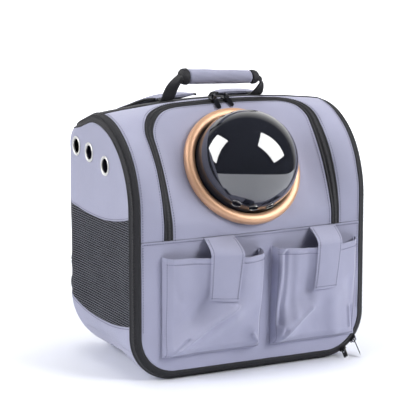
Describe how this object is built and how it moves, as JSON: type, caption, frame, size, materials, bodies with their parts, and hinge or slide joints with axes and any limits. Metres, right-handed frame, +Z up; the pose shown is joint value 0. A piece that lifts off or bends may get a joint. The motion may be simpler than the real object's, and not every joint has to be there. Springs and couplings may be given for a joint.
{
  "type": "bubble pet carrier backpack",
  "caption": "Boxy soft pet carrier backpack with a domed window on its zipped front flap, mesh side panels, front pockets with tabs, a top handle and padded shoulder straps.",
  "frame": {"origin": "on the ground under the middle of the bag, on the underside of its base", "axes": "+Z up, -Y out of the front with the dome, +X to the right when facing the front"},
  "size_m": [0.3574, 0.3061, 0.4005],
  "materials": {
    "cloth": "fine matte weave, lilac grey",
    "mesh": "open knitted mesh, dark grey",
    "webbing": "matte woven tape, near black",
    "ring": "glossy metallic copper paint",
    "dome": "clear smoke-tinted acrylic, polished",
    "steel": "polished nickel plate"
  },
  "bodies": {
    "bag": {"left_edge_band": "webbing", "right_edge_band": "webbing", "bottom_edge_band": "webbing", "rear_edge_band": "webbing", "lower_front_panel": "cloth", "back_panel": "cloth", "flap_zipper": "webbing", "flap_surround": "cloth", "window_flap": "cloth", "rear_top_panel": "webbing", "dome_ring": "ring", "dome": "dome", "left_upper_side": "cloth", "left_mesh": "mesh", "left_lower_side": "cloth", "left_grommet_rear": "steel", "left_grommet_middle": "steel", "left_grommet_front": "steel", "right_upper_side": "cloth", "right_mesh": "mesh", "right_lower_side": "cloth", "right_grommet_rear": "steel", "right_grommet_middle": "steel", "right_grommet_front": "steel", "base_panel": "cloth", "left_pocket": "cloth", "right_pocket": "cloth", "left_pocket_tab": "cloth", "right_pocket_tab": "cloth", "handle_grip": "cloth", "handle_leg_left": "webbing", "handle_leg_right": "webbing", "shoulder_strap_left": "cloth", "strap_webbing_left": "webbing", "shoulder_strap_right": "cloth", "strap_webbing_right": "webbing", "top_left_slider": "steel", "top_right_slider": "steel", "corner_upper_slider": "steel", "corner_lower_slider": "steel"},
    "top_left_pull": {"top_left_puller": "steel"},
    "top_right_pull": {"top_right_puller": "steel"},
    "corner_upper_pull": {"corner_upper_puller": "steel"},
    "corner_lower_pull": {"corner_lower_puller": "steel"}
  },
  "joints": [
    {"name": "top_left_pull_hinge", "type": "hinge", "parent": "bag", "child": "top_left_pull", "pos_m": [-0.01, -0.0039, 0.36015], "axis": [-1, 0, 0], "range_deg": [0, 90]},
    {"name": "top_right_pull_hinge", "type": "hinge", "parent": "bag", "child": "top_right_pull", "pos_m": [0.009, -0.0039, 0.36016], "axis": [-0.9937, -0.1104, -0.0195], "range_deg": [0, 90]},
    {"name": "corner_upper_pull_hinge", "type": "hinge", "parent": "bag", "child": "corner_upper_pull", "pos_m": [0.16068, -0.09935, 0.02105], "axis": [-0.4886, -0.706, 0.5127], "range_deg": [0, 75]},
    {"name": "corner_lower_pull_hinge", "type": "hinge", "parent": "bag", "child": "corner_lower_pull", "pos_m": [0.14441, -0.09935, 0.00816], "axis": [0.538, -0.3954, 0.7445], "range_deg": [0, 75]}
  ]
}
